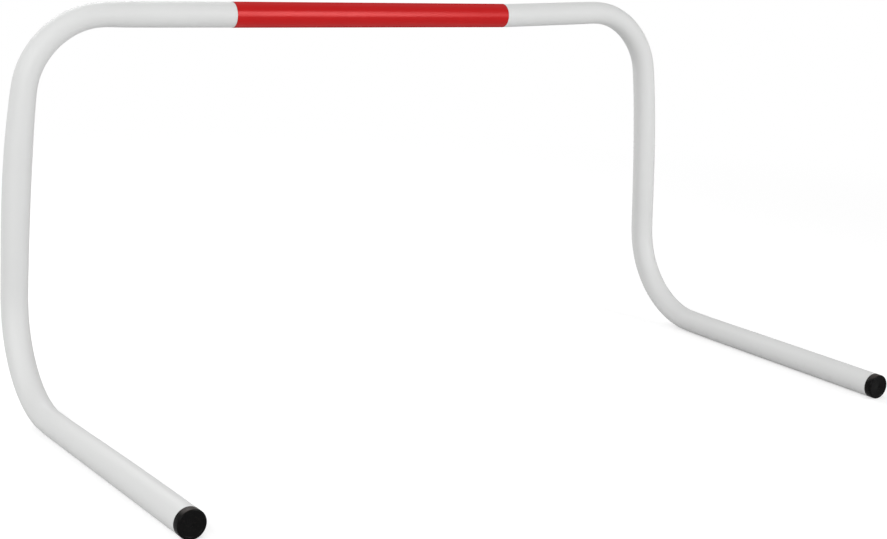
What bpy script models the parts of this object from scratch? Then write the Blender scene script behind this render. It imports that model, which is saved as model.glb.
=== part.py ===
"""Training hurdle: one bent steel tube that makes the crossbar, both legs and both feet.

A red film is wrapped round the middle of the crossbar. Each foot holds a steel weight
bar, which keeps the hurdle from tipping back, and is closed by a ribbed plastic plug.

The frame is metres, +Z up. The origin is on the floor, under the middle of the hurdle.
The crossbar runs along X at the back, and the feet run forwards, towards -Y.
"""

import math
from dataclasses import dataclass

import bmesh
import bpy
from mathutils import Vector

MM = 0.001

# Frame tube
TUBE_DIAMETER = 33.0 * MM
TUBE_WALL = 1.5 * MM
OVERALL_HEIGHT = 499.0 * MM
LEG_SPACING = 955.0 * MM
LEG_SPLAY = 37.0 * MM
LEG_BOW = 8.5 * MM
LEG_BOW_RISE = 1.8 * MM
LEFT_FOOT_REACH = 484.0 * MM
RIGHT_FOOT_REACH = 492.0 * MM
FOOT_TOE_IN = math.radians(1.5)
TOP_BEND_RADIUS = 97.0 * MM
FOOT_BEND_RADIUS = 125.0 * MM

# The crossbar's low point, a slight sag just past the film's right end
BAR_SAG = 5.5 * MM
BAR_SAG_X = 224.0 * MM
SAG_BEND_RADIUS = 420.0 * MM

# Shares of the tube's radius by which its section leaves the circle
LEFT_TOP_FLATTENING = 0.065
RIGHT_TOP_FLATTENING = 0.02
LEFT_FOOT_FLATTENING = 0.12
RIGHT_FOOT_FLATTENING = 0.02
BEND_WIDENING = 0.012
LEG_WIDENING = 0.06
LEG_THINNING = 0.04

# Lengths over which a bend's flattening dies out
BAR_FADE = 36.0 * MM
LEG_TOP_FADE = 55.0 * MM
LEG_FOOT_FADE = 36.0 * MM
FOOT_FADE = 220.0 * MM

# Height up to which a flattened foot bend is let down towards the floor
FOOT_SEAT_HEIGHT = 60.0 * MM

# Crossbar film
FILM_LENGTH = 430.0 * MM
FILM_CENTRE_X = 0.0 * MM
FILM_THICKNESS = 0.25 * MM

# End plugs
PLUG_HEAD_LENGTH = 10.0 * MM
PLUG_HEAD_INSET = 0.1 * MM
PLUG_EDGE_RADIUS = 1.6 * MM
PLUG_DISH_DEPTH = 0.6 * MM
PLUG_DISH_RIM = 3.4 * MM
PLUG_SHANK_LENGTH = 22.0 * MM
PLUG_SHANK_WALL = 1.8 * MM
PLUG_RIB_HEIGHT = 1.3 * MM
PLUG_RIB_WIDTH = 1.4 * MM
PLUG_RIB_PITCH = 5.0 * MM
PLUG_RIBS = 4
PLUG_FACE_THICKNESS = 2.4 * MM

# Weight bars
WEIGHT_LENGTH = 110.0 * MM
WEIGHT_CHAMFER = 1.5 * MM

# Clearances between pieces that touch on the real hurdle
FILM_CLEARANCE = 0.3 * MM
RIB_CLEARANCE = 0.3 * MM
HEAD_CLEARANCE = 0.3 * MM
WEIGHT_CLEARANCE = 0.3 * MM

# Facets and steps
TUBE_SIDES = 24
BEND_STEPS = 10
LEG_STEPS = 8
SAG_STEPS = 2
TURNED_STEPS = 32
EDGE_STEPS = 4

LEFT = -1
RIGHT = 1
AXIS_X = Vector((1.0, 0.0, 0.0))
AXIS_Y = Vector((0.0, 1.0, 0.0))
AXIS_Z = Vector((0.0, 0.0, 1.0))

TUBE_RADIUS = TUBE_DIAMETER / 2
BORE_RADIUS = TUBE_RADIUS - TUBE_WALL
BAR_RISE = OVERALL_HEIGHT - TUBE_DIAMETER
FOOT_LENGTH = max(LEFT_FOOT_REACH, RIGHT_FOOT_REACH) + HEAD_CLEARANCE + PLUG_HEAD_LENGTH
FOOT_DEPTH = FOOT_LENGTH * math.cos(FOOT_TOE_IN)
BAR_Y = (FOOT_DEPTH - TUBE_RADIUS) / 2


@dataclass
class Station:
    """A place on the tube's centreline, with the size of its section there."""

    point: Vector
    across: float = 1.0
    depth: float = 1.0


def clear_scene():
    """Remove every object, so that the file holds the hurdle alone."""
    for item in list(bpy.data.objects):
        bpy.data.objects.remove(item, do_unlink=True)


def make_collection():
    """Return the collection that holds the hurdle's pieces."""
    collection = bpy.data.collections.new("training_hurdle")
    bpy.context.scene.collection.children.link(collection)
    return collection


def make_material(name, colour, roughness, metallic=0.0):
    """Return a Principled material of one finish."""
    material = bpy.data.materials.new(name)
    material.use_nodes = True
    shader = material.node_tree.nodes["Principled BSDF"]
    shader.inputs["Base Color"].default_value = (*colour, 1.0)
    shader.inputs["Roughness"].default_value = roughness
    shader.inputs["Metallic"].default_value = metallic
    material.diffuse_color = (*colour, 1.0)
    return material


def add_object(name, mesh, collection, material):
    """Put a mesh into the scene as one smooth-shaded piece."""
    mesh.materials.append(material)
    mesh.shade_smooth()
    mesh.set_sharp_from_angle(angle=math.radians(35))
    piece = bpy.data.objects.new(name, mesh)
    collection.objects.link(piece)
    return piece


def foot_direction(side):
    """Return the way a foot points, forwards and slightly inwards."""
    return Vector((-side * math.sin(FOOT_TOE_IN), -math.cos(FOOT_TOE_IN), 0.0))


def foot_corner(side):
    """Return the point where the axes of a leg and its foot would meet."""
    return Vector((side * (LEG_SPACING / 2 + LEG_SPLAY), BAR_Y, TUBE_RADIUS))


def foot_reach(side):
    """Return the distance from a foot's corner to its cut end."""
    return LEFT_FOOT_REACH if side == LEFT else RIGHT_FOOT_REACH


def foot_point(side, distance):
    """Return the point on a foot's axis at a distance from its corner."""
    return foot_corner(side) + foot_direction(side) * distance


def top_corner(side):
    """Return the point where the axes of the crossbar and a leg would meet."""
    return Vector((side * LEG_SPACING / 2, BAR_Y, TUBE_RADIUS + BAR_RISE))


def bend(before, corner, after, radius, steps):
    """Return the points of an arc that rounds off a corner."""
    to_before = (before - corner).normalized()
    to_after = (after - corner).normalized()
    turn = math.pi - to_before.angle(to_after)
    tangent = radius * math.tan(turn / 2)
    start = corner + to_before * tangent
    middle = (to_before + to_after).normalized()
    centre = corner + middle * radius / math.cos(turn / 2)
    outwards = (start - centre) / radius
    points = []
    for step in range(steps + 1):
        angle = turn * step / steps
        points.append(centre + radius * (outwards * math.cos(angle) - to_before * math.sin(angle)))
    return points


def top_bend_stations(points, side):
    """Return a top bend's stations, flattened in the plane of the bend."""
    flattening = LEFT_TOP_FLATTENING if side == LEFT else RIGHT_TOP_FLATTENING
    return [Station(point, 1 - flattening, 1 + BEND_WIDENING) for point in points]


def foot_bend_stations(points, side):
    """Return a foot bend's stations, flattened in the plane of the bend."""
    flattening = LEFT_FOOT_FLATTENING if side == LEFT else RIGHT_FOOT_FLATTENING
    return [Station(point, 1 + BEND_WIDENING, 1 - flattening) for point in points]


def fade_stations(bent, away, length):
    """Return the stations over which a bend's flattening dies out, towards a point."""
    direction = (away - bent.point).normalized()
    stations = []
    for share in (0.5, 1.0):
        point = bent.point + direction * length * share
        keep = 1 - share
        stations.append(Station(point, 1 + (bent.across - 1) * keep, 1 + (bent.depth - 1) * keep))
    return stations


def leg_stations(low, high):
    """Return the stations of a straight leg, which is widest half-way up."""
    length = (high.point - low.point).length
    stations = []
    for step in range(1, LEG_STEPS):
        share = step / LEG_STEPS
        swell = math.sin(math.pi * share) ** 2
        from_low = max(0.0, 1 - share * length / LEG_FOOT_FADE)
        from_high = max(0.0, 1 - (1 - share) * length / LEG_TOP_FADE)
        across = 1 + LEG_WIDENING * swell
        across += (low.across - 1) * from_low + (high.across - 1) * from_high
        depth = 1 - LEG_THINNING * swell
        depth += (low.depth - 1) * from_low + (high.depth - 1) * from_high
        stations.append(Station(low.point.lerp(high.point, share), across, depth))
    return stations


def seat_feet(stations):
    """Let the flattened sections of the feet down, so that they rest flat on the floor."""
    for station in stations:
        height = station.point.z - TUBE_RADIUS
        share = max(0.0, 1 - height / FOOT_SEAT_HEIGHT)
        drop = TUBE_RADIUS * (1 - station.depth) * share
        station.point = station.point - AXIS_Z * drop


def bow_legs(stations):
    """Push the legs outwards, most above half-way, and ease off through the top bends."""
    bend_start = LEG_SPACING / 2 - TOP_BEND_RADIUS
    for station in stations:
        point = station.point
        share = min(max((abs(point.x) - bend_start) / TOP_BEND_RADIUS, 0.0), 1.0)
        angle = math.pi * min(max((point.z - TUBE_RADIUS) / BAR_RISE, 0.0), 1.0)
        outwards = share * (LEG_BOW * math.sin(angle) - LEG_BOW_RISE * math.sin(2 * angle))
        station.point = point + AXIS_X * math.copysign(outwards, point.x)


def half_frame(side):
    """Return the stations of one side, from the foot's cut end to its top bend's end."""
    foot_end = foot_point(side, foot_reach(side))
    sag_point = Vector((BAR_SAG_X, BAR_Y, TUBE_RADIUS + BAR_RISE - BAR_SAG))
    foot_bend = bend(foot_end, foot_corner(side), top_corner(side), FOOT_BEND_RADIUS, BEND_STEPS)
    top_bend = bend(foot_corner(side), top_corner(side), sag_point, TOP_BEND_RADIUS, BEND_STEPS)
    low = foot_bend_stations(foot_bend, side)
    high = top_bend_stations(top_bend, side)
    stations = [Station(foot_end)]
    stations += reversed(fade_stations(low[0], foot_end, FOOT_FADE))
    stations += low
    stations += leg_stations(low[-1], high[0])
    stations += high
    stations += fade_stations(high[-1], sag_point, BAR_FADE)
    return stations


def frame_stations():
    """Return the whole tube's stations, from the left foot to the right one."""
    left = half_frame(LEFT)
    right = half_frame(RIGHT)
    sag_point = Vector((BAR_SAG_X, BAR_Y, TUBE_RADIUS + BAR_RISE - BAR_SAG))
    sag = bend(left[-1].point, sag_point, right[-1].point, SAG_BEND_RADIUS, SAG_STEPS)
    stations = left + [Station(point) for point in sag] + right[::-1]
    seat_feet(stations)
    bow_legs(stations)
    return stations


def section_axes(point, tangent):
    """Return the two directions across the tube that its section is drawn in.

    One facet faces straight down along the feet, so that they rest flat on the floor.
    """
    if point.z > TUBE_RADIUS + BAR_RISE / 2:
        depth = (AXIS_Y - tangent * AXIS_Y.dot(tangent)).normalized()
        return depth.cross(tangent), depth
    outwards = AXIS_X if point.x < 0 else -AXIS_X
    across = (outwards - tangent * outwards.dot(tangent)).normalized()
    return across, tangent.cross(across)


def loft(name, stations, radius):
    """Return an open tube of unlike sections, whose facets touch the given radius."""
    mesh_data = bmesh.new()
    corner_radius = radius / math.cos(math.pi / TUBE_SIDES)
    rings = []
    last = len(stations) - 1
    for index, station in enumerate(stations):
        ahead = stations[min(index + 1, last)].point
        behind = stations[max(index - 1, 0)].point
        across, depth = section_axes(station.point, (ahead - behind).normalized())
        ring = []
        for side in range(TUBE_SIDES):
            angle = 2 * math.pi * (side + 0.5) / TUBE_SIDES
            offset = across * station.across * math.cos(angle) + depth * station.depth * math.sin(angle)
            ring.append(mesh_data.verts.new(station.point + offset * corner_radius))
        rings.append(ring)
    for ring, next_ring in zip(rings, rings[1:]):
        for side in range(TUBE_SIDES):
            other = (side + 1) % TUBE_SIDES
            mesh_data.faces.new((ring[side], ring[other], next_ring[other], next_ring[side]))
    mesh = bpy.data.meshes.new(name)
    mesh_data.to_mesh(mesh)
    mesh_data.free()
    return mesh


def add_wall(piece, thickness, offset):
    """Give an open surface its wall, inwards at offset -1 and outwards at offset 1."""
    wall = piece.modifiers.new("wall", "SOLIDIFY")
    wall.thickness = thickness
    wall.offset = offset
    wall.use_even_offset = True


def make_frame_tube(collection, material, stations):
    """Make the bent tube: its section is round, but flatter in bends and oval in the legs."""
    mesh = loft("frame_tube", stations, TUBE_RADIUS)
    piece = add_object("frame_tube", mesh, collection, material)
    add_wall(piece, TUBE_WALL, -1)


def cut_stations(stations, low_x, high_x):
    """Return the stretch of the crossbar between two places along X."""
    bar = [s for s in stations if s.point.z > TUBE_RADIUS + BAR_RISE / 2]
    kept = []
    for first, second in zip(bar, bar[1:]):
        span = second.point.x - first.point.x
        for place in (low_x, high_x):
            if first.point.x < place <= second.point.x:
                share = (place - first.point.x) / span
                kept.append(Station(first.point.lerp(second.point, share)))
        if low_x < second.point.x < high_x:
            kept.append(second)
    return sorted(kept, key=lambda s: s.point.x)


def make_film(collection, material, stations):
    """Make the film sleeve, which follows the crossbar a clearance away from the tube."""
    low_x = FILM_CENTRE_X - FILM_LENGTH / 2
    high_x = FILM_CENTRE_X + FILM_LENGTH / 2
    stretch = cut_stations(stations, low_x, high_x)
    mesh = loft("crossbar_film", stretch, TUBE_RADIUS + FILM_CLEARANCE)
    piece = add_object("crossbar_film", mesh, collection, material)
    add_wall(piece, FILM_THICKNESS, 1)


def plug_profile():
    """Return a plug's outline as radius and height, from its face down to its hollow.

    Height 0 is the tube's cut end, and the face is outside it.
    """
    face = HEAD_CLEARANCE + PLUG_HEAD_LENGTH
    head_radius = TUBE_RADIUS - PLUG_HEAD_INSET
    dish_radius = head_radius - PLUG_DISH_RIM
    rib_radius = BORE_RADIUS - RIB_CLEARANCE
    shank_radius = rib_radius - PLUG_RIB_HEIGHT
    hollow_radius = shank_radius - PLUG_SHANK_WALL
    outline = [
        (0.0, face - PLUG_DISH_DEPTH),
        (dish_radius - PLUG_DISH_DEPTH, face - PLUG_DISH_DEPTH),
        (dish_radius, face),
    ]
    for step in range(EDGE_STEPS + 1):
        angle = math.pi / 2 * (1 - step / EDGE_STEPS)
        outline.append((
            head_radius - PLUG_EDGE_RADIUS * (1 - math.cos(angle)),
            face - PLUG_EDGE_RADIUS * (1 - math.sin(angle)),
        ))
    outline.append((head_radius, HEAD_CLEARANCE))
    outline.append((shank_radius, HEAD_CLEARANCE))
    for rib in range(PLUG_RIBS):
        top = -PLUG_RIB_PITCH * (rib + 0.5)
        outline.append((shank_radius, top))
        outline.append((rib_radius, top - PLUG_RIB_WIDTH * 0.25))
        outline.append((rib_radius, top - PLUG_RIB_WIDTH * 0.5))
        outline.append((shank_radius, top - PLUG_RIB_WIDTH))
    outline.append((shank_radius, -PLUG_SHANK_LENGTH))
    outline.append((hollow_radius, -PLUG_SHANK_LENGTH))
    outline.append((hollow_radius, face - PLUG_DISH_DEPTH - PLUG_FACE_THICKNESS))
    outline.append((0.0, face - PLUG_DISH_DEPTH - PLUG_FACE_THICKNESS))
    return outline


def stand_on_foot(piece, side, distance):
    """Place a turned piece on a foot's axis, its own +Z pointing out of the tube's end."""
    piece.location = foot_point(side, distance)
    piece.rotation_mode = "QUATERNION"
    piece.rotation_quaternion = foot_direction(side).to_track_quat("Z", "Y")


def make_plug(name, side, collection, material):
    """Turn one plug: a full-width head with a dished face, on a hollow ribbed shank."""
    outline = plug_profile()
    mesh = bpy.data.meshes.new(name)
    edges = [(index, index + 1) for index in range(len(outline) - 1)]
    mesh.from_pydata([(radius, 0.0, height) for radius, height in outline], edges, [])
    piece = add_object(name, mesh, collection, material)
    turn = piece.modifiers.new("turn", "SCREW")
    turn.axis = "Z"
    turn.angle = 2 * math.pi
    turn.screw_offset = 0.0
    turn.steps = TURNED_STEPS
    turn.render_steps = TURNED_STEPS
    turn.use_merge_vertices = True
    turn.merge_threshold = 0.00001
    turn.use_smooth_shade = True
    stand_on_foot(piece, side, foot_reach(side))


def make_weight_bar(name, side, collection, material):
    """Make the steel bar that lies in a foot's bore, behind its plug."""
    mesh_data = bmesh.new()
    bmesh.ops.create_cone(
        mesh_data,
        cap_ends=True,
        segments=TURNED_STEPS,
        radius1=BORE_RADIUS - WEIGHT_CLEARANCE,
        radius2=BORE_RADIUS - WEIGHT_CLEARANCE,
        depth=WEIGHT_LENGTH,
    )
    mesh = bpy.data.meshes.new(name)
    mesh_data.to_mesh(mesh)
    mesh_data.free()
    piece = add_object(name, mesh, collection, material)
    chamfer = piece.modifiers.new("chamfer", "BEVEL")
    chamfer.width = WEIGHT_CHAMFER
    chamfer.segments = 1
    chamfer.limit_method = "ANGLE"
    chamfer.angle_limit = math.radians(40)
    inner_end = PLUG_SHANK_LENGTH + WEIGHT_CLEARANCE
    stand_on_foot(piece, side, foot_reach(side) - inner_end - WEIGHT_LENGTH / 2)


def build():
    """Make every piece of the hurdle."""
    clear_scene()
    collection = make_collection()
    white_coat = make_material("white_powder_coat", (0.74, 0.75, 0.74), 0.38)
    red_film = make_material("red_film", (0.60, 0.012, 0.018), 0.35)
    black_plastic = make_material("black_plastic", (0.012, 0.012, 0.013), 0.42)
    bare_steel = make_material("bare_steel", (0.50, 0.50, 0.50), 0.45, metallic=1.0)

    stations = frame_stations()
    make_frame_tube(collection, white_coat, stations)
    make_film(collection, red_film, stations)
    for side, word in ((LEFT, "left"), (RIGHT, "right")):
        make_plug(word + "_end_plug", side, collection, black_plastic)
        make_weight_bar(word + "_weight_bar", side, collection, bare_steel)


build()
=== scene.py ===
"""Training hurdle, dressed: a bent coated tube with a red film band and black end plugs.

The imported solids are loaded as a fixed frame, and every piece takes its place from them.
Lengths are metres, +Z is up, the crossbar runs along X, and the feet run forwards, to -Y.
"""

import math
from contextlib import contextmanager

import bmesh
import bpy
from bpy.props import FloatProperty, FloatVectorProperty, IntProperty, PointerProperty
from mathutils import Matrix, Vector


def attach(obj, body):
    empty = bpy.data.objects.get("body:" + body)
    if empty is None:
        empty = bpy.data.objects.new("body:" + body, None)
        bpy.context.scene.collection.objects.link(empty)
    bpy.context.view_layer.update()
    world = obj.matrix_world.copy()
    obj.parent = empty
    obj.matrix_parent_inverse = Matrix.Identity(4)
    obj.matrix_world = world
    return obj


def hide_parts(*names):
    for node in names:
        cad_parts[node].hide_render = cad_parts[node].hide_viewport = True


bl_info = {
    "name": "Training Hurdle",
    "version": (1, 0, 0),
    "blender": (4, 5, 0),
    "location": "View3D > Sidebar > Hurdle",
    "description": "Dresses a training hurdle: its coated tube, film band, end plugs and studio",
    "category": "Add Mesh",
}

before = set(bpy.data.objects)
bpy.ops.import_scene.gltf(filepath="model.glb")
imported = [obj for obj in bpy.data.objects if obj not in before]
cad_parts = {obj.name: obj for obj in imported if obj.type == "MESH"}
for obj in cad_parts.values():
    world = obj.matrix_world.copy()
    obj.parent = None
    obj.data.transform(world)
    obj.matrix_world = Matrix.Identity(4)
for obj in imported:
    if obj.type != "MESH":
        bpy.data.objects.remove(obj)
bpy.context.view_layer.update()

MM = 0.001
WHITE = (1.0, 1.0, 1.0)
BODY = "root"
SIDES = ("left", "right")
FORWARDS = Vector((0.0, -1.0, 0.0))
UP = Vector((0.0, 0.0, 1.0))
ALONG_BAR = Vector((1.0, 0.0, 0.0))
MERGE_DISTANCE = 0.01 * MM
SMOOTH_ANGLE = math.radians(40)
FLOOR_SIDES = 128

# The corners of a solid's slightly tilted end lie within this depth of its farthest one
WEIGHT_CAP_DEPTH = 0.9 * MM
FILM_CAP_DEPTH = 0.5 * MM

# Facets in which the film climbs onto its own start
FILM_RISE_STEPS = 2

# Attributes that the pieces' meshes store for their materials
FACING_UP = "facing_up"
LOOSE_EDGE = "loose_edge"

# The gloss is gone at the first value of Layer Weight's Facing, and whole at the second
GLOSS_FADE = (0.85, 0.45)

SOFTBOX_AIM = Vector((0.0, 0.0, 0.25))
SOFTBOX_DISTANCE = 3.2

# Softboxes: name, degrees to the right of straight in front, degrees up, width, height, watts
SOFTBOXES = (
    ("right_strip_softbox", 31, 16, 0.8, 2.1, 48.0),
    ("front_softbox", -45, 22, 2.2, 1.6, 37.0),
    ("left_softbox", -100, 35, 1.6, 1.6, 28.0),
    ("back_softbox", 180, 35, 2.0, 1.6, 40.0),
)


class HURDLE_PG_tube(bpy.types.PropertyGroup):
    """Sizes and finish of the bent tube."""

    coat_colour: FloatVectorProperty(
        name="Coat colour", description="Colour of the powder coat",
        subtype="COLOR", size=3, min=0.0, max=1.0, default=(0.74, 0.745, 0.74),
    )
    rub_colour: FloatVectorProperty(
        name="Rub colour", description="Colour of the marks where the feet rub on the floor",
        subtype="COLOR", size=3, min=0.0, max=1.0, default=(0.36, 0.35, 0.33),
    )
    roughness: FloatProperty(
        name="Roughness", description="Mean roughness of the coat",
        subtype="FACTOR", min=0.0, max=1.0, default=0.42,
    )
    gloss: FloatProperty(
        name="Gloss", description="Weight of the clear gloss on the coat",
        subtype="FACTOR", min=0.0, max=1.0, default=0.26,
    )
    peel_depth: FloatProperty(
        name="Peel depth", description="Depth of the coat's orange peel",
        unit="LENGTH", precision=5, default=0.022 * MM,
    )
    rim_width: FloatProperty(
        name="Rim width", description="Width of the rounded rims of the cut ends",
        unit="LENGTH", precision=5, default=0.3 * MM,
    )
    smoothing: IntProperty(
        name="Smoothing", description="Subdivision levels that round the tube",
        min=1, max=3, default=2,
    )


class HURDLE_PG_film(bpy.types.PropertyGroup):
    """Sizes and finish of the film band."""

    colour: FloatVectorProperty(
        name="Film colour", description="Colour of the red film",
        subtype="COLOR", size=3, min=0.0, max=1.0, default=(0.53, 0.002, 0.003),
    )
    roughness: FloatProperty(
        name="Roughness", description="Mean roughness of the film",
        subtype="FACTOR", min=0.0, max=1.0, default=0.28,
    )
    gloss: FloatProperty(
        name="Gloss", description="Mean weight of the clear gloss on the film",
        subtype="FACTOR", min=0.0, max=1.0, default=0.38,
    )
    thickness: FloatProperty(
        name="Thickness", description="Thickness of the film",
        unit="LENGTH", precision=5, default=0.12 * MM,
    )
    glue_line: FloatProperty(
        name="Glue line", description="Gap between the tube's surface and the film",
        unit="LENGTH", precision=5, default=0.03 * MM,
    )
    overlap: FloatProperty(
        name="Overlap", description="Turn by which the film covers its own start",
        subtype="ANGLE", default=math.radians(30),
    )
    seam_angle: FloatProperty(
        name="Seam angle", description="Place of the film's start, from the front over the top",
        subtype="ANGLE", default=math.radians(205),
    )
    sides: IntProperty(
        name="Sides", description="Facets of one turn of the film", min=24, default=120,
    )


class HURDLE_PG_plug(bpy.types.PropertyGroup):
    """Sizes and finish of the end plugs."""

    colour: FloatVectorProperty(
        name="Plug colour", description="Colour of the moulded plastic",
        subtype="COLOR", size=3, min=0.0, max=1.0, default=(0.002, 0.002, 0.002),
    )
    grime_colour: FloatVectorProperty(
        name="Grime colour", description="Colour of the grime in the plastic's texture",
        subtype="COLOR", size=3, min=0.0, max=1.0, default=(0.016, 0.013, 0.012),
    )
    # Colour of the head's top: settled dust, and a painted highlight where the top catches the
    # lamps
    dust_and_highlight_colour: FloatVectorProperty(
        name="Dust colour", description="Colour of the dust that settles on the head's top",
        subtype="COLOR", size=3, min=0.0, max=1.0, default=(0.115, 0.100, 0.094),
    )
    roughness: FloatProperty(
        name="Roughness", description="Mean roughness of the plastic",
        subtype="FACTOR", min=0.0, max=1.0, default=0.26,
    )
    gloss: FloatProperty(
        name="Gloss", description="Weight of the clear gloss on the plastic",
        subtype="FACTOR", min=0.0, max=1.0, default=0.10,
    )
    texture_depth: FloatProperty(
        name="Texture depth", description="Depth of the plastic's eroded texture",
        unit="LENGTH", precision=5, default=0.010 * MM,
    )
    edge_radius: FloatProperty(
        name="Edge radius", description="Radius of the head's front edge",
        unit="LENGTH", precision=5, default=1.6 * MM,
    )
    head_length: FloatProperty(
        name="Head length", description="Length of the head outside the tube",
        unit="LENGTH", precision=5, default=10.0 * MM,
    )
    dish_rim: FloatProperty(
        name="Dish rim", description="Distance from the head's side to its dished face",
        unit="LENGTH", precision=5, default=3.4 * MM,
    )
    dish_depth: FloatProperty(
        name="Dish depth", description="Depth of the dished face",
        unit="LENGTH", precision=5, default=0.6 * MM,
    )
    gate_radius: FloatProperty(
        name="Gate radius", description="Radius of the round moulding gate in the face",
        unit="LENGTH", precision=5, default=1.4 * MM,
    )
    gate_depth: FloatProperty(
        name="Gate depth", description="Depth of the moulding gate's recess",
        unit="LENGTH", precision=5, default=0.25 * MM,
    )
    face_thickness: FloatProperty(
        name="Face thickness", description="Thickness of the plastic behind the face",
        unit="LENGTH", precision=5, default=2.4 * MM,
    )
    shank_wall: FloatProperty(
        name="Shank wall", description="Wall of the hollow shank",
        unit="LENGTH", precision=5, default=1.8 * MM,
    )
    rib_radius: FloatProperty(
        name="Rib radius", description="Radius of the ribs, which grip the tube's bore",
        unit="LENGTH", precision=5, default=14.7 * MM,
    )
    rib_height: FloatProperty(
        name="Rib height", description="Height of the ribs over the shank",
        unit="LENGTH", precision=5, default=1.3 * MM,
    )
    rib_width: FloatProperty(
        name="Rib width", description="Width of a rib at its root",
        unit="LENGTH", precision=5, default=1.4 * MM,
    )
    rib_pitch: FloatProperty(
        name="Rib pitch", description="Distance from rib to rib",
        unit="LENGTH", precision=5, default=5.0 * MM,
    )
    ribs: IntProperty(name="Ribs", description="Number of ribs on the shank", min=1, default=4)
    sides: IntProperty(
        name="Sides", description="Facets of the turned plug", min=24, default=96,
    )


class HURDLE_PG_weight(bpy.types.PropertyGroup):
    """Finish of the weight bars inside the feet."""

    colour: FloatVectorProperty(
        name="Steel colour", description="Colour of the drawn steel",
        subtype="COLOR", size=3, min=0.0, max=1.0, default=(0.50, 0.495, 0.485),
    )
    rust_colour: FloatVectorProperty(
        name="Rust colour", description="Colour of the first flecks of rust",
        subtype="COLOR", size=3, min=0.0, max=1.0, default=(0.22, 0.10, 0.05),
    )
    roughness: FloatProperty(
        name="Roughness", description="Mean roughness of the bare steel",
        subtype="FACTOR", min=0.0, max=1.0, default=0.36,
    )


class HURDLE_PG_studio(bpy.types.PropertyGroup):
    """The floor, the lamps and the camera."""

    floor_size: FloatProperty(
        name="Floor size", description="Width of the floor",
        unit="LENGTH", default=40.0,
    )
    floor_colour: FloatVectorProperty(
        name="Floor colour", description="Colour of the pale floor",
        subtype="COLOR", size=3, min=0.0, max=1.0, default=(0.60, 0.60, 0.60),
    )
    floor_glow: FloatProperty(
        name="Floor glow", description="Light added to the near floor where it is seen",
        min=0.0, max=1.0, default=0.56,
    )
    floor_near: FloatProperty(
        name="Floor near", description="Distance up to which the floor keeps its shadows",
        unit="LENGTH", default=0.8,
    )
    floor_far: FloatProperty(
        name="Floor far", description="Distance past which the floor is plain white",
        unit="LENGTH", default=2.5,
    )
    room_light: FloatProperty(
        name="Room light", description="Strength of the even light from all sides",
        min=0.0, max=1.0, default=0.28,
    )
    camera_place: FloatVectorProperty(
        name="Camera place", description="Where the camera stands",
        subtype="TRANSLATION", unit="LENGTH", size=3, default=(-1.1153, -1.5658, 0.6140),
    )
    camera_turn: FloatProperty(
        name="Camera turn", description="How far the camera looks to the right of +Y",
        subtype="ANGLE", default=math.radians(34.526),
    )
    camera_tilt: FloatProperty(
        name="Camera tilt", description="How far the camera looks down",
        subtype="ANGLE", default=math.radians(12.921),
    )
    camera_roll: FloatProperty(
        name="Camera roll", description="How far the camera leans to its left",
        subtype="ANGLE", default=math.radians(2.103),
    )
    camera_lens: FloatProperty(
        name="Camera lens", description="Focal length on a sensor 36 mm wide",
        unit="CAMERA", default=62.546,
    )


def deselect_all():
    """Leave edit mode and select nothing."""
    if bpy.context.object and bpy.context.object.mode != "OBJECT":
        bpy.ops.object.mode_set(mode="OBJECT")
    bpy.ops.object.select_all(action="DESELECT")


def select_only(piece):
    """Select one piece and make it active."""
    deselect_all()
    piece.select_set(True)
    bpy.context.view_layer.objects.active = piece


@contextmanager
def editing(piece):
    """Open a piece in edit mode with nothing selected, and close it at the end."""
    select_only(piece)
    bpy.ops.object.mode_set(mode="EDIT")
    bpy.ops.mesh.select_mode(type="VERT")
    bpy.ops.mesh.select_all(action="DESELECT")
    yield
    bpy.ops.object.mode_set(mode="OBJECT")


def pick_edges(piece, passes):
    """In edit mode, select only the edges whose two corners pass a test."""
    bpy.ops.mesh.select_mode(type="EDGE")
    bpy.ops.mesh.select_all(action="DESELECT")
    mesh = bmesh.from_edit_mesh(piece.data)
    for edge in mesh.edges:
        if all(passes(corner.co) for corner in edge.verts):
            edge.select_set(True)
    bmesh.update_edit_mesh(piece.data)


def start_outline(name, point):
    """Make a piece of one corner, from which an outline is drawn."""
    deselect_all()
    bpy.ops.mesh.primitive_plane_add(size=MM)
    piece = bpy.context.object
    piece.name = name
    with editing(piece):
        bpy.ops.mesh.select_all(action="SELECT")
        bpy.ops.mesh.merge(type="CENTER")
        bpy.ops.transform.translate(value=point)
    return piece


def extrude_corner(offset):
    """In edit mode, extrude the selected corner by an offset."""
    bpy.ops.mesh.extrude_vertices_move(TRANSFORM_OT_translate={"value": offset})


def apply_modifier(piece, kind, **settings):
    """Add a modifier with its settings to a piece, and apply it."""
    modifier = piece.modifiers.new(kind.lower(), kind)
    for name, value in settings.items():
        setattr(modifier, name, value)
    select_only(piece)
    bpy.ops.object.modifier_apply(modifier=modifier.name)


def finish_piece(piece, material, slot, *nodes):
    """Shade a finished piece, give it its material, and say what it rides on and replaces."""
    select_only(piece)
    bpy.ops.object.transform_apply(location=True, rotation=True, scale=True)
    bpy.ops.object.shade_smooth_by_angle(angle=SMOOTH_ANGLE)
    piece.data.materials.clear()
    piece.data.materials.append(material)
    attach(piece, BODY)
    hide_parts(*nodes)


def node_points(node):
    """Return the places of a CAD node's vertices."""
    return [vertex.co.copy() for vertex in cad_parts[node].data.vertices]


def end_middle(points, direction, depth):
    """Return the middle of the flat end that the points have in a direction."""
    farthest = max(point.dot(direction) for point in points)
    end = [point for point in points if point.dot(direction) > farthest - depth]
    low = Vector([min(point[axis] for point in end) for axis in range(3)])
    high = Vector([max(point[axis] for point in end) for axis in range(3)])
    return (low + high) / 2


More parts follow.
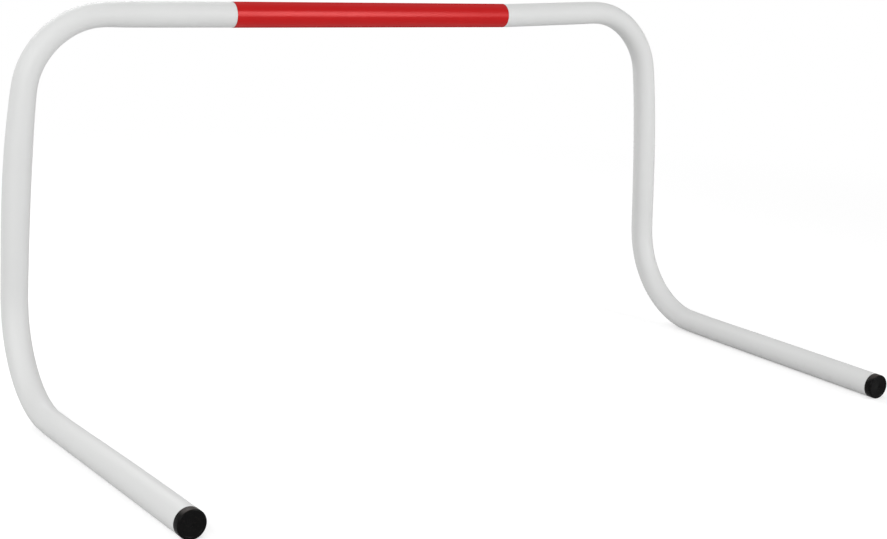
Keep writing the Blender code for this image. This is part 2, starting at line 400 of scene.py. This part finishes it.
def foot_axis(side):
    """Return the middle of a foot's cut end and the way the foot points.

    The round weight bar lies along the foot's axis, so its two ends give the direction.
    """
    bar = node_points(side + "_weight_bar")
    front = end_middle(bar, FORWARDS, WEIGHT_CAP_DEPTH)
    back = end_middle(bar, -FORWARDS, WEIGHT_CAP_DEPTH)
    direction = (front - back).normalized()
    tube = [point for point in node_points("frame_tube") if point.x * front.x > 0]
    reach = max((point - front).dot(direction) for point in tube)
    return front + direction * reach, direction


def shade(colour, share):
    """Return a colour that keeps only a share of its light."""
    return tuple(channel * share for channel in colour)


class Value:
    """A socket of a node tree, on which Python's operators make the Math nodes."""

    def __init__(self, maker, socket):
        self.maker = maker
        self.socket = socket

    def maths(self, operation, *values):
        """Return the result of one Math node on these values."""
        sockets = dict(enumerate(values))
        return self.maker.node("ShaderNodeMath", {"operation": operation}, sockets)

    def __add__(self, other):
        return self.maths("ADD", self, other)

    def __sub__(self, other):
        return self.maths("SUBTRACT", self, other)

    def __rsub__(self, other):
        return self.maths("SUBTRACT", other, self)

    def __mul__(self, other):
        return self.maths("MULTIPLY", self, other)

    def __abs__(self):
        return self.maths("ABSOLUTE", self)

    __radd__ = __add__
    __rmul__ = __mul__

    def fade(self, low, high):
        """Return a smooth step: 0 at the value low, and 1 at the value high."""
        settings = {"interpolation_type": "SMOOTHSTEP"}
        sockets = {"Value": self, "From Min": low, "From Max": high}
        return self.maker.node("ShaderNodeMapRange", settings, sockets)


class NodeMaker:
    """A node tree, with the one method that makes its nodes."""

    def __init__(self, tree):
        self.tree = tree

    def node(self, kind, settings, sockets, output=0):
        """Make a node, its settings first and then its sockets, and return one output."""
        made = self.tree.nodes.new(kind)
        for name, setting in settings.items():
            setattr(made, name, setting)
        for name, given in sockets.items():
            self.fill(self.find(made.inputs, name), given)
        return Value(self, self.find(made.outputs, output))

    def find(self, sockets, name):
        """Return a node's socket by its number or its identifier."""
        if isinstance(name, int):
            return sockets[name]
        return next(socket for socket in sockets if socket.identifier == name)

    def fill(self, socket, given):
        """Link a socket to a value, or set it to a number, a vector or a colour."""
        if isinstance(given, Value):
            self.tree.links.new(given.socket, socket)
        elif socket.type == "RGBA":
            socket.default_value = (*given, 1.0)
        else:
            socket.default_value = given

    def blend(self, factor, first, second):
        """Return a colour that goes from the first to the second as the factor rises."""
        sockets = {"Factor_Float": factor, "A_Color": first, "B_Color": second}
        return self.node("ShaderNodeMix", {"data_type": "RGBA"}, sockets, "Result_Color")


class Finish(NodeMaker):
    """A material: its Principled shader, and the patterns that its surfaces share."""

    def __init__(self, name):
        self.material = bpy.data.materials.new(name)
        self.material.use_nodes = True
        super().__init__(self.material.node_tree)
        self.shader = self.tree.nodes["Principled BSDF"]
        self.place = self.node("ShaderNodeTexCoord", {}, {}, "Object")

    def surface(self, **sockets):
        """Fill the shader's sockets, named with an underscore for each space."""
        for name, given in sockets.items():
            self.fill(self.shader.inputs[name.replace("_", " ")], given)

    def along(self, axis):
        """Return the place along X, Y or Z."""
        return self.node("ShaderNodeSeparateXYZ", {}, {"Vector": self.place}, axis)

    def stretched(self, scale):
        """Return the place, scaled by its own factor along each axis."""
        return self.node("ShaderNodeMapping", {}, {"Vector": self.place, "Scale": scale})

    def noise(self, grain, detail=2.0, place=None):
        """Return soft noise from 0 to 1, whose grain is a length."""
        sockets = {"Vector": place or self.place, "Scale": 1 / grain, "Detail": detail}
        return self.node("ShaderNodeTexNoise", {}, sockets)

    def stored(self, name):
        """Return the number that a piece's mesh stores under a name."""
        return self.node("ShaderNodeAttribute", {"attribute_name": name}, {}, "Fac")

    def gloss(self, weight):
        """Return the weight of a clear gloss, which fades where it is seen along the surface."""
        facing = self.node("ShaderNodeLayerWeight", {}, {"Blend": 0.5}, "Facing")
        return facing.fade(*GLOSS_FADE) * weight

    def specks(self, spacing, radius):
        """Return round specks, 1 in their middle, at a spacing and with a radius."""
        sockets = {"Vector": self.place, "Scale": 1 / spacing}
        distance = self.node("ShaderNodeTexVoronoi", {}, sockets, "Distance")
        return distance.fade(radius / spacing, 0.0)

    def bump(self, height, depth, normal=None):
        """Return the normal of a relief, whose height from 0 to 1 stands for a depth."""
        sockets = {"Height": height, "Distance": depth}
        if normal:
            sockets["Normal"] = normal
        return self.node("ShaderNodeBump", {}, sockets)


def powder_coat(settings):
    """White powder coat: an orange-peel skin with rare nibs, and dust and rub marks low down."""
    finish = Finish("white_powder_coat")
    cloud = finish.noise(70 * MM, 3.0)
    peel = finish.noise(2.2 * MM, 2.0)
    grain = finish.noise(0.35 * MM, 1.0)
    nibs = finish.specks(26 * MM, 0.5 * MM)
    height = finish.along("Z")
    resting = height.fade(1.1 * MM, 0.2 * MM)
    streaks = finish.noise(1.6 * MM, 4.0, finish.stretched((1.0, 0.08, 1.0)))
    rub = resting * streaks.fade(0.42, 0.62)
    dust = finish.noise(9 * MM, 4.0).fade(0.5, 0.75) * height.fade(26 * MM, 4 * MM) * 0.12
    colour = finish.blend(cloud, shade(settings.coat_colour, 0.965), settings.coat_colour)
    colour = finish.blend(rub + dust, colour, settings.rub_colour)
    skin = finish.bump(peel, settings.peel_depth)
    skin = finish.bump(grain, 0.0015 * MM, skin)
    finish.surface(
        Base_Color=colour,
        Roughness=settings.roughness + (cloud - 0.5) * 0.08 + rub * 0.25,
        Normal=finish.bump(nibs, 0.05 * MM, skin),
        Specular_IOR_Level=0.05,
        Coat_Weight=finish.gloss(settings.gloss),
        Coat_Roughness=0.40,
    )
    return finish.material


def band_film(settings, end_x):
    """Red film: the coat's skin shows through, with stretch lines, bubbles and dirty edges."""
    finish = Finish("red_film")
    cloud = finish.noise(55 * MM, 2.0)
    peel = finish.noise(2.4 * MM, 2.0)
    stretch = finish.noise(1.1 * MM, 3.0, finish.stretched((0.05, 1.0, 1.0)))
    bubbles = finish.specks(13 * MM, 0.8 * MM) * finish.noise(40 * MM).fade(0.52, 0.66)
    from_end = end_x - abs(finish.along("X"))
    edge = from_end.fade(0.9 * MM, 0.0) + finish.stored(LOOSE_EDGE).fade(0.1, 1.0)
    edge = edge * (0.45 + finish.noise(3 * MM, 3.0) * 0.4)
    colour = finish.blend(cloud, shade(settings.colour, 0.90), settings.colour)
    colour = finish.blend(edge, colour, shade(settings.colour, 0.30))
    skin = finish.bump(peel, 0.014 * MM)
    skin = finish.bump(stretch, 0.004 * MM, skin)
    finish.surface(
        Base_Color=colour,
        Roughness=settings.roughness + (stretch - 0.5) * 0.07 + edge * 0.2,
        Normal=finish.bump(bubbles, 0.06 * MM, skin),
        Metallic=0.08,
        Specular_Tint=(1.0, 0.2, 0.2),
        Specular_IOR_Level=0.0,
        Coat_Weight=finish.gloss(settings.gloss + (stretch - 0.5) * 0.14),
        Coat_Roughness=0.285,
    )
    return finish.material


def moulded_plastic(settings):
    """Black moulded plastic: a fine texture with grime and scuffs, and on the top dust with a
    painted highlight.
    """
    finish = Finish("black_plastic")
    texture = finish.noise(0.30 * MM, 3.0)
    flow = finish.noise(6 * MM, 2.0)
    grime = finish.noise(2.5 * MM, 5.0).fade(0.50, 0.78) * 0.35
    scuffs = finish.noise(0.9 * MM, 3.0, finish.stretched((1.0, 1.0, 0.25))).fade(0.64, 0.72)
    # The head's top is lightened by settled dust and a painted highlight, strongest where it faces
    # up
    top = finish.stored(FACING_UP).fade(0.65, 1.0)
    dust = top * (0.15 + finish.noise(1.4 * MM, 4.0) * 0.6)
    colour = finish.blend(grime + scuffs * 0.25, settings.colour, settings.grime_colour)
    colour = finish.blend(dust, colour, settings.dust_and_highlight_colour)
    skin = finish.bump(texture, settings.texture_depth)
    finish.surface(
        Base_Color=colour,
        Roughness=settings.roughness + (flow - 0.5) * 0.08 + scuffs * 0.15 + dust * 0.3,
        Normal=finish.bump(scuffs, 0.01 * MM, skin),
        Specular_IOR_Level=0.01,
        Coat_Weight=finish.gloss(settings.gloss),
        Coat_Roughness=0.26,
    )
    return finish.material


def drawn_steel(settings):
    """Bare drawn steel: fine lines along the bar, and the first flecks of rust."""
    finish = Finish("drawn_steel")
    lines = finish.noise(0.25 * MM, 3.0, finish.stretched((1.0, 0.02, 1.0)))
    flecks = finish.noise(5 * MM, 5.0).fade(0.60, 0.72) * 0.6
    colour = finish.blend(flecks, settings.colour, settings.rust_colour)
    finish.surface(
        Base_Color=colour,
        Metallic=1.0 - flecks * 0.8,
        Roughness=settings.roughness + (lines - 0.5) * 0.20 + flecks * 0.35,
        Normal=finish.bump(lines, 0.004 * MM),
    )
    return finish.material


class HURDLE_OT_coated_tube(bpy.types.Operator):
    """Round the frame's tube into a smooth one with softened rims, and coat it"""

    bl_idname = "hurdle.coated_tube"
    bl_label = "Coated Tube"
    bl_options = {"REGISTER", "UNDO"}

    def execute(self, context):
        settings = context.scene.hurdle_tube
        tube = bpy.data.objects.new("coated_tube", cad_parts["frame_tube"].data.copy())
        context.scene.collection.objects.link(tube)
        with editing(tube):
            bpy.ops.mesh.select_all(action="SELECT")
            bpy.ops.mesh.remove_doubles(threshold=MERGE_DISTANCE)
            bpy.ops.mesh.tris_convert_to_quads()
            for side in SIDES:
                self.soften_rim(tube, side, settings.rim_width)
        levels = settings.smoothing
        apply_modifier(tube, "SUBSURF", levels=levels, render_levels=levels)
        finish_piece(tube, powder_coat(settings), "frame_coat", "frame_tube")
        return {"FINISHED"}

    def soften_rim(self, tube, side, width):
        """Bevel the two round edges of a foot's cut end."""
        end, direction = foot_axis(side)

        def on_cut(point):
            return abs((point - end).dot(direction)) < MERGE_DISTANCE and point.x * end.x > 0

        pick_edges(tube, on_cut)
        bpy.ops.mesh.region_to_loop()
        bpy.ops.mesh.bevel(offset=width, segments=1, affect="EDGES")


class HURDLE_OT_film_band(bpy.types.Operator):
    """Wrap the red film round the crossbar, with its overlap at the back"""

    bl_idname = "hurdle.film_band"
    bl_label = "Film Band"
    bl_options = {"REGISTER", "UNDO"}

    def execute(self, context):
        settings = context.scene.hurdle_film
        points = node_points("crossbar_film")
        low = end_middle(points, -ALONG_BAR, FILM_CAP_DEPTH)
        high = end_middle(points, ALONG_BAR, FILM_CAP_DEPTH)
        axis = (high - low).normalized()
        radius = self.bar_radius(low, high, axis) + settings.glue_line
        outwards = Matrix.Rotation(-settings.seam_angle, 3, ALONG_BAR) @ FORWARDS
        outwards = (outwards - axis * outwards.dot(axis)).normalized()
        film = start_outline("film_band", low + outwards * radius)
        with editing(film):
            bpy.ops.mesh.select_all(action="SELECT")
            extrude_corner(high - low)
            bpy.ops.mesh.select_all(action="SELECT")
            self.wrap(low, axis, radius, settings)
        self.mark_loose_edge(film)
        apply_modifier(film, "SOLIDIFY", thickness=settings.thickness, offset=1.0)
        finish_piece(film, band_film(settings, high.x), "band_film", "crossbar_film")
        return {"FINISHED"}

    def bar_radius(self, low, high, axis):
        """Return the radius of the coated tube under the film."""
        tube = bpy.data.objects["coated_tube"]
        upper = [vertex.co - low for vertex in tube.data.vertices if vertex.co.z > low.z / 2]
        bar = [point for point in upper if 0 < point.x < high.x - low.x]
        return max((point - axis * point.dot(axis)).length for point in bar)

    def wrap(self, low, axis, radius, settings):
        """Spin the film's start, one edge, round the bar, and lay the end over the start."""
        step = 2 * math.pi / settings.sides
        turn = settings.sides - FILM_RISE_STEPS
        bpy.ops.mesh.spin(steps=turn, angle=turn * step, center=low, axis=axis)
        lift = settings.thickness + settings.glue_line
        reached = radius
        for index in range(round(settings.overlap / step)):
            bpy.ops.mesh.spin(steps=1, angle=step, center=low, axis=axis)
            wanted = radius + lift * min(index + 1, FILM_RISE_STEPS) / FILM_RISE_STEPS
            growth = wanted / reached
            bpy.ops.transform.resize(value=(1.0, growth, growth), center_override=low)
            reached = wanted

    def mark_loose_edge(self, film):
        """Store where the film's loose edge lies, which the last spin has left selected."""
        loose = film.data.attributes.new(LOOSE_EDGE, "FLOAT", "POINT")
        for vertex, mark in zip(film.data.vertices, loose.data):
            mark.value = float(vertex.select)


class HURDLE_OT_end_plugs(bpy.types.Operator):
    """Turn the ribbed plug once, and press a copy into the end of each foot"""

    bl_idname = "hurdle.end_plugs"
    bl_label = "End Plugs"
    bl_options = {"REGISTER", "UNDO"}

    def execute(self, context):
        settings = context.scene.hurdle_plug
        material = moulded_plastic(settings)
        plug = self.turn_plug(settings)
        for side in SIDES:
            copy = bpy.data.objects.new("plug_" + side, plug.data.copy())
            context.scene.collection.objects.link(copy)
            end, direction = foot_axis(side)
            turned = direction.to_track_quat("Z", "Y").to_matrix().to_4x4()
            copy.matrix_world = Matrix.Translation(end) @ turned
            finish_piece(copy, material, "plug_plastic", side + "_end_plug")
        bpy.data.objects.remove(plug)
        return {"FINISHED"}

    def turn_plug(self, settings):
        """Turn the plug's outline about Z, and round its edges.

        Height 0 is the tube's cut end. The head and its face lie above it.
        """
        end, direction = foot_axis("left")
        places = [point - end for point in node_points("left_end_plug")]
        heights = [place.dot(direction) for place in places]
        face = max(heights)
        shank_end = min(heights)
        head = max((place - direction * place.dot(direction)).length for place in places)
        outline = self.outline(head, face, shank_end, settings)
        plug = start_outline("plug", Vector((outline[0][0], 0.0, outline[0][1])))
        with editing(plug):
            bpy.ops.mesh.select_all(action="SELECT")
            for (radius, height), (next_radius, next_height) in zip(outline, outline[1:]):
                extrude_corner(Vector((next_radius - radius, 0.0, next_height - height)))
            bpy.ops.mesh.select_all(action="SELECT")
            bpy.ops.mesh.spin(steps=settings.sides, angle=2 * math.pi, center=(0, 0, 0), axis=UP)
            bpy.ops.mesh.select_all(action="SELECT")
            bpy.ops.mesh.remove_doubles(threshold=MERGE_DISTANCE)
            bpy.ops.mesh.normals_make_consistent(inside=False)
            for edge in self.edges(head, face, settings):
                self.round_edge(plug, *edge)
        self.mark_top(plug)
        return plug

    def outline(self, head, face, shank_end, settings):
        """Return half of the plug's section as radius and height, from the gate to the hollow."""
        dish = head - settings.dish_rim
        bottom = face - settings.dish_depth
        collar = face - settings.head_length
        shank = settings.rib_radius - settings.rib_height
        hollow = shank - settings.shank_wall
        inside = bottom - settings.face_thickness
        outline = [
            (0.0, bottom - settings.gate_depth),
            (settings.gate_radius, bottom - settings.gate_depth),
            (settings.gate_radius, bottom),
            (dish - settings.dish_depth, bottom),
            (dish, face),
            (head, face),
            (head, collar),
            (shank, collar),
        ]
        # A rib rises over a quarter of its width, is flat for a quarter, and falls over the rest
        for rib in range(settings.ribs):
            top = -settings.rib_pitch * (rib + 0.5)
            outline.append((shank, top))
            outline.append((settings.rib_radius, top - settings.rib_width * 0.25))
            outline.append((settings.rib_radius, top - settings.rib_width * 0.5))
            outline.append((shank, top - settings.rib_width))
        outline += [(shank, shank_end), (hollow, shank_end), (hollow, inside), (0.0, inside)]
        return outline

    def edges(self, head, face, settings):
        """Return each edge to round: its radius and height, the rounding and its segments."""
        dish = head - settings.dish_rim
        bottom = face - settings.dish_depth
        collar = face - settings.head_length
        return (
            (head, face, settings.edge_radius, 6),
            (head, collar, settings.edge_radius / 6, 2),
            (dish, face, settings.dish_depth / 2, 3),
            (dish - settings.dish_depth, bottom, settings.dish_depth / 2, 3),
            (settings.gate_radius, bottom, settings.gate_depth / 3, 2),
        )

    def round_edge(self, plug, radius, height, width, segments):
        """Bevel the round edge that lies at a radius and a height."""

        def on_edge(point):
            level = abs(point.z - height) < MERGE_DISTANCE
            return level and abs(point.xy.length - radius) < MERGE_DISTANCE

        pick_edges(plug, on_edge)
        bpy.ops.mesh.bevel(offset=width, segments=segments, affect="EDGES")

    def mark_top(self, plug):
        """Store how far each corner faces +Y, which points up once the plug is in a foot."""
        top = plug.data.attributes.new(FACING_UP, "FLOAT", "POINT")
        for vertex, mark in zip(plug.data.vertices, top.data):
            mark.value = max(0.0, vertex.normal.y)


class HURDLE_OT_weight_bars(bpy.types.Operator):
    """Give the frame's weight bars, hidden in the feet, their drawn steel"""

    bl_idname = "hurdle.weight_bars"
    bl_label = "Weight Bars"
    bl_options = {"REGISTER", "UNDO"}

    def execute(self, context):
        material = drawn_steel(context.scene.hurdle_weight)
        for side in SIDES:
            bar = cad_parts[side + "_weight_bar"]
            bar.data.materials.clear()
            bar.data.materials.append(material)
        return {"FINISHED"}


class HURDLE_OT_studio(bpy.types.Operator):
    """Set up the pale floor, the soft lamps, the white room and the camera"""

    bl_idname = "hurdle.studio"
    bl_label = "Studio"
    bl_options = {"REGISTER", "UNDO"}

    def execute(self, context):
        settings = context.scene.hurdle_studio
        context.scene.view_settings.view_transform = "Standard"
        self.lay_floor(settings)
        self.light_room(context.scene, settings)
        for softbox in SOFTBOXES:
            self.hang_softbox(context.scene, *softbox)
        self.place_camera(context.scene, settings)
        return {"FINISHED"}

    def seen_directly(self, maker):
        """Return 1 for rays that see the background: from the camera, a reflection or glass."""
        names = ("Is Camera Ray", "Is Glossy Ray", "Is Transmission Ray")
        camera, glossy, glass = (maker.node("ShaderNodeLightPath", {}, {}, name) for name in names)
        return camera + glossy + glass

    def lay_floor(self, settings):
        """Lay a wide pale floor, which keeps the shadow near by and looks plain white far off."""
        bpy.ops.mesh.primitive_circle_add(
            vertices=FLOOR_SIDES, radius=settings.floor_size / 2, fill_type="NGON",
        )
        floor = bpy.context.object
        floor.name = "floor"
        finish = Finish("pale_floor")
        finish.surface(Base_Color=settings.floor_colour, Roughness=0.9, Specular_IOR_Level=0.0)
        length = {"operation": "LENGTH"}
        away = finish.node("ShaderNodeVectorMath", length, {0: finish.place}, "Value")
        far = away.fade(settings.floor_near, settings.floor_far)
        lit = Value(finish, finish.shader.outputs[0])
        added = self.white_glow(finish, settings.floor_glow)
        near = finish.node("ShaderNodeAddShader", {}, {0: lit, 1: added})
        shown = self.mixed(finish, far, near, self.white_glow(finish, 1.0))
        seen = self.mixed(finish, self.seen_directly(finish), lit, shown)
        finish.fill(finish.tree.nodes["Material Output"].inputs["Surface"], seen)
        floor.data.materials.append(finish.material)

    def white_glow(self, finish, strength):
        """Return a shader that glows white, where a strength of 1 is the picture's white."""
        sockets = {"Color": WHITE, "Strength": strength}
        return finish.node("ShaderNodeEmission", {}, sockets)

    def mixed(self, finish, factor, first, second):
        """Return a shader that goes from the first to the second as the factor rises."""
        return finish.node("ShaderNodeMixShader", {}, {0: factor, 1: first, 2: second})

    def light_room(self, scene, settings):
        """Fill the room with even light, and show it white where it is seen."""
        scene.world = bpy.data.worlds.new("white_room")
        scene.world.use_nodes = True
        maker = NodeMaker(scene.world.node_tree)
        room = scene.world.node_tree.nodes["Background"]
        maker.fill(room.inputs["Color"], WHITE)
        seen = self.seen_directly(maker)
        strength = seen * (1.0 - settings.room_light) + settings.room_light
        maker.fill(room.inputs["Strength"], strength)

    def hang_softbox(self, scene, name, aside, up, width, height, power):
        """Hang a soft rectangular lamp at two angles from straight in front of the hurdle."""
        lamp = bpy.data.lights.new(name, "AREA")
        lamp.shape = "RECTANGLE"
        lamp.size = width
        lamp.size_y = height
        lamp.energy = power
        softbox = bpy.data.objects.new(name, lamp)
        aside = math.radians(aside)
        up = math.radians(up)
        level = math.cos(up)
        outwards = Vector((math.sin(aside) * level, -math.cos(aside) * level, math.sin(up)))
        softbox.location = SOFTBOX_AIM + outwards * SOFTBOX_DISTANCE
        softbox.rotation_euler = outwards.to_track_quat("Z", "Y").to_euler()
        softbox.visible_camera = False
        scene.collection.objects.link(softbox)

    def place_camera(self, scene, settings):
        """Stand the camera where the photograph was taken from."""
        lens = bpy.data.cameras.new("camera")
        lens.lens = settings.camera_lens
        camera = bpy.data.objects.new("camera", lens)
        turn = Matrix.Rotation(-settings.camera_turn, 4, "Z")
        tilt = Matrix.Rotation(math.pi / 2 - settings.camera_tilt, 4, "X")
        roll = Matrix.Rotation(settings.camera_roll, 4, "Z")
        camera.matrix_world = Matrix.Translation(settings.camera_place) @ turn @ tilt @ roll
        scene.collection.objects.link(camera)
        scene.camera = camera


class HURDLE_PT_sidebar(bpy.types.Panel):
    """The hurdle's pieces and their settings"""

    bl_idname = "HURDLE_PT_sidebar"
    bl_label = "Training Hurdle"
    bl_space_type = "VIEW_3D"
    bl_region_type = "UI"
    bl_category = "Hurdle"

    def draw(self, context):
        for operator, group in STEPS:
            box = self.layout.box()
            box.operator("hurdle." + operator)
            settings = getattr(context.scene, group)
            for name in settings.bl_rna.properties.keys():
                if name not in ("rna_type", "name"):
                    box.prop(settings, name)


SETTINGS = {
    "hurdle_tube": HURDLE_PG_tube,
    "hurdle_film": HURDLE_PG_film,
    "hurdle_plug": HURDLE_PG_plug,
    "hurdle_weight": HURDLE_PG_weight,
    "hurdle_studio": HURDLE_PG_studio,
}
STEPS = (
    ("coated_tube", "hurdle_tube"),
    ("film_band", "hurdle_film"),
    ("end_plugs", "hurdle_plug"),
    ("weight_bars", "hurdle_weight"),
    ("studio", "hurdle_studio"),
)
CLASSES = (
    *SETTINGS.values(),
    HURDLE_OT_coated_tube,
    HURDLE_OT_film_band,
    HURDLE_OT_end_plugs,
    HURDLE_OT_weight_bars,
    HURDLE_OT_studio,
    HURDLE_PT_sidebar,
)


def register():
    """Register the settings, the operators and the panel."""
    for made in CLASSES:
        bpy.utils.register_class(made)
    for name, group in SETTINGS.items():
        setattr(bpy.types.Scene, name, PointerProperty(type=group))


def unregister():
    """Take them away again, in the opposite order."""
    for name in reversed(SETTINGS):
        delattr(bpy.types.Scene, name)
    for made in reversed(CLASSES):
        bpy.utils.unregister_class(made)


def main():
    """Make every piece and the studio."""
    register()
    for operator, _ in STEPS:
        getattr(bpy.ops.hurdle, operator)()


if __name__ == "__main__":
    main()
